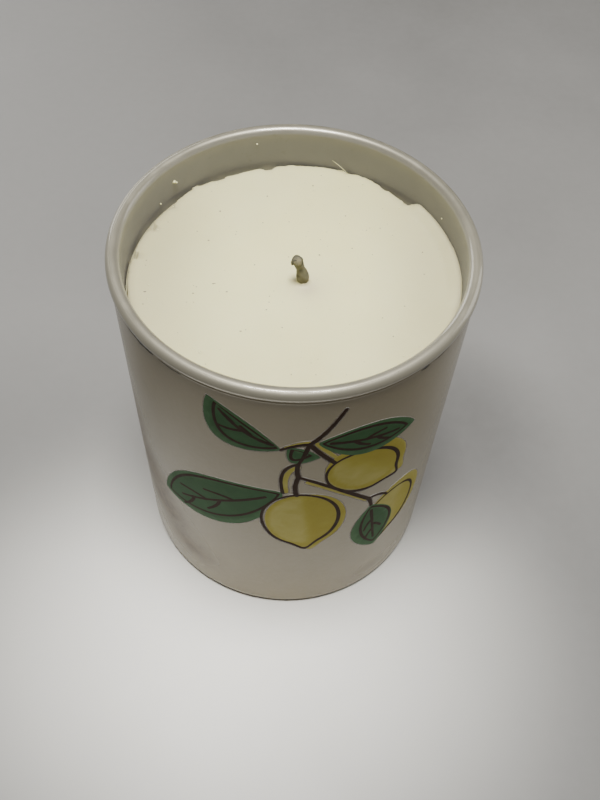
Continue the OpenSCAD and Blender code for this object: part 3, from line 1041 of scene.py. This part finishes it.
def wax_crumbs(material):
    """Crumbs on the glass and the wax, and a shaving that leans on the glass at the back."""
    rng = random.Random(4)
    parts = []
    for angle, z, size in CRUMBS:
        parts.append(lump(clockwise_point(angle, INNER_R - 0.15, z), size, rng, (1, 1, 0.8)))
    for _ in range(LOOSE_CRUMBS):
        angle, r = rng.uniform(-180, 180), rng.uniform(28, 35)
        at = clockwise_point(angle, r, WAX_TOP - 0.08)
        parts.append(lump(at, rng.uniform(0.12, 0.3), rng, (1, 1, 0.6)))
    start = clockwise_point(19, 35.6, WAX_TOP + 0.1)
    end = clockwise_point(11.5, 36.9, WAX_TOP + 2.1)
    steps = 14
    shaving = []
    for i in range(steps + 1):
        t = i / steps
        middle = start + (end - start) * t + np.array((0, 0, 0.25 * sin(pi * t)))
        half = 0.22 * sin(pi * (0.08 + 0.84 * t)) * (1 + 0.3 * wave(i * 0.6, 1))
        for dx, dz in ((-1, 0), (0, 0.6), (1, 0), (0, -0.6)):
            shaving.append(middle + np.array((dx * half * 0.6, -half * 0.3, dz * half)))
    parts.append((shaving, tube_faces(steps + 1, 4)))
    verts, faces = joined(parts)
    make_piece("wax_crumbs", verts, faces, material, "wax", stain=[0] * len(verts))


def wax_specks():
    """Soot and dust lying on the wax."""
    rng = random.Random(11)
    parts = []
    for _ in range(SPECKS):
        angle, r = rng.uniform(-180, 180), 34.5 * sqrt(rng.random())
        x, y, _ = clockwise_point(angle, r, 0)
        level = wax_height(x, y)[0]
        size = 0.055 + 0.13 * rng.random() ** 3
        flat = (rng.uniform(0.8, 1.8), rng.uniform(0.7, 1.3), 0.35)
        parts.append(lump(np.array((x, y, WAX_TOP + level + 0.01)), size, rng, flat))
    verts, faces = joined(parts)
    make_piece("wax_specks", verts, faces, soot_and_dust(), "wax")


# ---- Wick ----

# The wick's line above the wax, from its foot: shift left, shift back, height, radius
WICK_LINE = [
    (0.0, 0.0, -1.2, 1.2), (0.0, 0.0, 0.2, 1.3), (0.06, 0.0, 1.2, 1.38), (0.2, 0.0, 2.1, 1.3),
    (0.42, 0.0, 3.1, 1.08), (0.7, 0.0, 4.1, 0.95), (1.02, 0.0, 5.0, 1.06), (1.32, 0.0, 5.8, 1.26),
    (1.54, 0.02, 6.5, 1.14), (1.66, 0.04, 7.0, 0.74), (1.72, 0.05, 7.25, 0.18),
]
# The way the pale cut end of the braid faces
CUT_FACING = Vector((0.1, -0.85, 0.5))
# Middle of the head: shift left, height
HEAD = (1.38, 5.95)
STRANDS = 3
# Length in which a strand takes the next one's place
BRAID_PITCH = 3.2
# The curled strand: its middle (shift left, forward, height), its two radii and its thickness
CURL_AT = (1.62, 0.35, 5.75)
CURL_R = (0.72, 0.78)
CURL_T = 0.52


def crosswise(direction):
    """Two directions at right angles to one and to each other."""
    across = direction.cross(Vector((0, 1, 0))).normalized()
    return across, across.cross(direction)


def wick_braid():
    """Braided cotton bedded in wax: strands that show as soft ridges, with a curled end."""
    controls = np.array(WICK_LINE)
    rows, columns = 130, 64
    share = np.linspace(0, len(controls) - 1, rows)
    known = range(len(controls))
    line_at = np.stack([np.interp(share, known, controls[:, k]) for k in range(4)], 1)
    kernel = np.array([1, 3, 4, 3, 1]) / 12
    padded = np.pad(line_at, ((2, 2), (0, 0)), mode="edge")
    line_at = np.stack([np.convolve(padded[:, k], kernel, "valid") for k in range(4)], 1)
    verts, groove, burnt, cut = [], [], [], []
    travelled = 0.0
    head = Vector((WICK.x - HEAD[0], WICK.y, WICK.z + HEAD[1]))
    for i in range(rows):
        left, back, height, radius = line_at[i]
        ahead = line_at[min(i + 1, rows - 1)] - line_at[max(i - 1, 0)]
        direction = Vector((-ahead[0], ahead[1], ahead[2])).normalized()
        across, other = crosswise(direction)
        if i:
            travelled += float(np.linalg.norm(line_at[i, :3] - line_at[i - 1, :3]))
        wound = 2 * pi * travelled / BRAID_PITCH
        for j in range(columns):
            a = 2 * pi * j / columns
            ridge = max(sin(STRANDS * a + wound), sin(STRANDS * a - wound + 1.2))
            soft = 0.5 + 0.5 * smooth(height, 0.6, 2.6)
            frayed = 0.05 * wave(a * 1.3, travelled * 1.5, 3) + 0.03 * wave(a * 4, travelled * 4, 6)
            r = radius * (1 + soft * 0.075 * (ridge - 0.6) + frayed)
            spot = Vector((WICK.x - left, WICK.y + back, WICK.z + height))
            spot += across * (r * cos(a)) + other * (r * sin(a))
            verts.append(tuple(spot))
            facing = (spot - head).normalized().dot(CUT_FACING)
            at_head = smooth(height, 4.9, 5.5)
            cut.append(at_head * smooth(facing, 0.55, 0.95))
            # Painted shade between the strands
            groove.append(max(0.0, min(1.0, soft * (0.75 - ridge) * 0.3)))
            turned_away = at_head * smooth(-facing, -0.75, -0.3)
            burnt.append(turned_away * (0.8 + 0.2 * wave(a, height, 2)))
    curl = curl_end()
    verts, faces = joined([(verts, tube_faces(rows, columns)), curl])
    for values, on_curl in ((groove, 0.15), (burnt, 0.5), (cut, 0.0)):
        values += [on_curl] * len(curl[0])
    make_piece(
        "wick_braid", verts, faces, waxed_cotton(), "cotton_wick", ["wick"],
        groove=groove, burnt=burnt, cut=cut,
    )


def curl_end():
    """The strand that curls over at the head's left."""
    rows, columns = 20, 20
    centre = WICK + Vector((-CURL_AT[0], -CURL_AT[1], CURL_AT[2]))
    verts = []
    for i in range(rows):
        t = i / (rows - 1)
        turn = radians(60 + 150 * t)
        middle = centre + Vector((cos(turn) * CURL_R[0], -0.35 * t, sin(turn) * CURL_R[1]))
        ahead = Vector((-sin(turn), -0.2, cos(turn))).normalized()
        across, other = crosswise(ahead)
        thick = CURL_T * (1 - 0.25 * t) * sqrt(max(1 - (2 * t - 1) ** 6, 0.02))
        for j in range(columns):
            a = 2 * pi * j / columns
            r = thick * (1 + 0.08 * sin(3 * a + 9 * t) + 0.08 * wave(a, t * 4, 5))
            verts.append(tuple(middle + across * (r * cos(a)) + other * (r * sin(a))))
    return verts, tube_faces(rows, columns)


# ---- Floor, light and camera ----

# The painted pool of light in front of the candle: its middle, where it starts and ends to fade,
# its shape
POOL_AT = (-0.011, -0.057, 0)
POOL_REACH = (0.0, 0.104)
POOL_SHAPE = (0.96, 1.22, 1)
# The floor's colours, darker away from the pool as painted falloff of the light: in that pool,
# further to the front, beside the candle and far behind it
FLOOR_NEAR = (0.92, 0.905, 0.85)
FLOOR_FRONT = (0.112, 0.1108, 0.1055)
FLOOR_BESIDE = (0.178, 0.175, 0.167)
FLOOR_FAR = (0.052, 0.0505, 0.0475)
# The painted soft shadow back and to the right of the candle: its middle, reach, colour, strength
SHADOW_AT = (0.042, 0.022, 0)
SHADOW_REACH = (0.016, 0.052)
FLOOR_SHADE = (0.056, 0.055, 0.053)
SHADOW_STRENGTH = 0.7
# The floor's half-width in metres, and its cells from side to side
FLOOR_HALF = 1.6
FLOOR_CELLS = 8


def table_top():
    """A plain pale table top with a painted pool of light just in front of the candle, a painted
    shadow back and to its right, and painted falloff darker beside and far behind it.
    """
    m = new_material("floor")
    grain = m.speckle(260, detail=5)
    cloud = m.speckle(14, detail=3)
    along = m.add("SeparateXYZ", {0: m.place()}, "Y")
    # Painted pool of light and painted shadow on the floor
    pool = m.spread(m.away(m.scaled(POOL_SHAPE), POOL_AT), *POOL_REACH, ease="SMOOTHSTEP")
    shadow = m.away(m.place(), SHADOW_AT)
    shadow = m.spread(shadow, *SHADOW_REACH, SHADOW_STRENGTH, 0.0, ease="SMOOTHSTEP")
    colour = m.mix(pool, FLOOR_NEAR, FLOOR_FRONT)
    colour = m.mix(m.spread(along, -0.03, 0.06), colour, FLOOR_BESIDE)
    colour = m.mix(m.spread(along, 0.05, 0.5), colour, FLOOR_FAR)
    colour = m.mix(shadow, colour, FLOOR_SHADE)
    colour = m.tint(cloud, 0.1, colour, (0.45, 0.44, 0.43))
    colour = m.tint(grain, 0.08, colour, (0.36, 0.35, 0.34))
    return m.shade(colour, m.spread(cloud, 0.3, 0.7, 0.45, 0.6), m.bumps(grain, 0.0001, 0.2))


def make_floor():
    ticks = np.linspace(-FLOOR_HALF, FLOOR_HALF, FLOOR_CELLS + 1)
    verts = [(x, y, 0.0) for y in ticks for x in ticks]
    mesh = bpy.data.meshes.new("floor")
    mesh.from_pydata(verts, [], grid_faces(len(ticks), len(ticks), wrap_columns=False))
    mesh.materials.append(table_top())
    floor = link("floor", mesh)


# Panels of light: place, point aimed at, width and height, watts
LIGHTS = {
    "key": ((0.012, -0.07, 1.6), (0, 0, 0.05), (0.5, 0.5), 50.0),
    "right_fill": ((0.95, 0.45, 0.4), (0, 0, 0.06), (0.5, 0.7), 2.6),
    "back_fill": ((-0.6, 1.0, 0.4), (0, 0, 0.06), (0.7, 0.5), 5.0),
}
LAMP_COLOUR = (1.0, 0.985, 0.95)
ROOM_COLOUR = (0.93, 0.95, 1.0, 1)
ROOM_STRENGTH = 0.09


def make_light():
    """A soft ceiling panel, two dim low panels for the sides and the back, and a dim room."""
    for name, (position, target, size, power) in LIGHTS.items():
        data = bpy.data.lights.new(name, "AREA")
        data.shape = "RECTANGLE"
        data.size, data.size_y = size
        data.energy = power
        data.color = LAMP_COLOUR
        light = link(name, data)
        light.location = position
        aim = Vector(target) - Vector(position)
        light.rotation_euler = aim.to_track_quat("-Z", "Y").to_euler()
        light.visible_camera = False
    room = Nodes(bpy.data.worlds.new("room"))
    glow = room.add("Background", {"Color": ROOM_COLOUR, "Strength": ROOM_STRENGTH})
    room.add("OutputWorld", {"Surface": glow})
    bpy.context.scene.world = room.owner


# The camera: its place, how far it looks down and its roll in degrees, its lens and sensor
CAMERA_AT = (0.0029, -0.1331, 0.2318)
CAMERA_DOWN = 54.95
CAMERA_ROLL = 3.3
CAMERA_LENS = 39.24
CAMERA_SENSOR = 36.0


def make_camera():
    down, roll = radians(CAMERA_DOWN), radians(CAMERA_ROLL)
    ahead = Vector((0, cos(down), -sin(down)))
    level_up = Vector((0, sin(down), cos(down)))
    level_right = Vector((1, 0, 0))
    right = level_right * cos(roll) + level_up * sin(roll)
    up = level_up * cos(roll) - level_right * sin(roll)
    data = bpy.data.cameras.new("camera")
    data.lens = CAMERA_LENS
    data.sensor_width = CAMERA_SENSOR
    data.clip_start = 0.01
    camera = link("camera", data)
    camera.matrix_world = Matrix((right, up, -ahead)).transposed().to_4x4()
    camera.location = CAMERA_AT
    bpy.context.scene.camera = camera


# ---- The whole candle ----


def dress(node, material):
    """A CAD node keeps its shape and gets a better material."""
    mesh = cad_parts[node].data
    mesh.materials.clear()
    mesh.materials.append(material)


make_camera()
make_light()
make_floor()
glass_body()
coat_shell()
print_layers()
wax = wax_block()
wax_crumbs(wax.data.materials[0])
wax_specks()
wick_braid()
dress("wick_tab", tinplate())
dress("adhesive_pad", pad_foam())
dress("base_label", label_paper())
